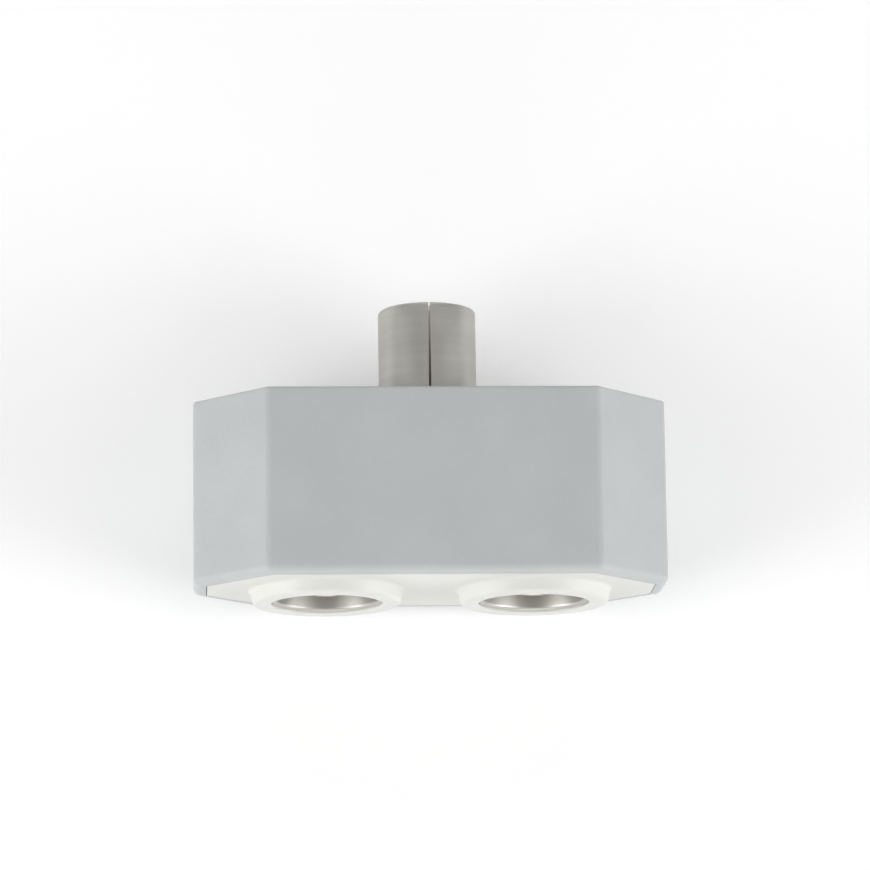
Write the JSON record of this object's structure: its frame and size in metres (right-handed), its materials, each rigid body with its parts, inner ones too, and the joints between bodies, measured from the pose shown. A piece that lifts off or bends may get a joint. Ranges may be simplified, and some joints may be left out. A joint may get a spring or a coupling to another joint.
{
  "type": "rf power splitter",
  "caption": "Passive coaxial splitter: a slit plug on one long face feeds sockets in round collars opposite, in a chamfered light grey housing with an off-white cover.",
  "frame": {"origin": "on the back face, in the middle of the box round the part", "axes": "+X along the width, from one socket to the other; +Y along the plug towards its tip; +Z from the back face to the front face"},
  "size_m": [0.0456, 0.0296, 0.02],
  "materials": {
    "housing_plastic": "light grey moulded plastic with a fine spark-eroded grain",
    "cover_plastic": "off-white moulded plastic, satin",
    "nickel_plating": "nickel plating, satin, with fine turning marks",
    "contact_metal": "nickel-plated contact metal",
    "insulator_plastic": "natural white plastic",
    "sheet_steel": "tinned sheet steel",
    "board_laminate": "paper laminate",
    "ferrite": "sintered ferrite",
    "enamelled_wire": "enamelled copper wire",
    "resistor_lacquer": "lacquered ceramic rod",
    "tinned_wire": "tinned wire",
    "capacitor_coating": "dipped coating",
    "solder": "bright solder"
  },
  "bodies": {
    "root": {"housing": "housing_plastic", "end_cover": "cover_plastic", "shield_frame": "sheet_steel", "socket_plate": "sheet_steel", "plug_sleeve": "nickel_plating", "plug_insulator": "insulator_plastic", "plug_pin": "contact_metal", "socket_shell_left": "nickel_plating", "socket_insulator_left": "insulator_plastic", "socket_contact_left": "contact_metal", "socket_shell_right": "nickel_plating", "socket_insulator_right": "insulator_plastic", "socket_contact_right": "contact_metal", "circuit_board": "board_laminate", "splitter_core": "ferrite", "splitter_winding": "enamelled_wire", "matching_core": "ferrite", "matching_winding": "enamelled_wire", "balance_resistor": "resistor_lacquer", "resistor_leads": "tinned_wire", "trim_capacitor": "capacitor_coating", "capacitor_leads": "tinned_wire", "solder_joints": "solder"}
  },
  "joints": []
}
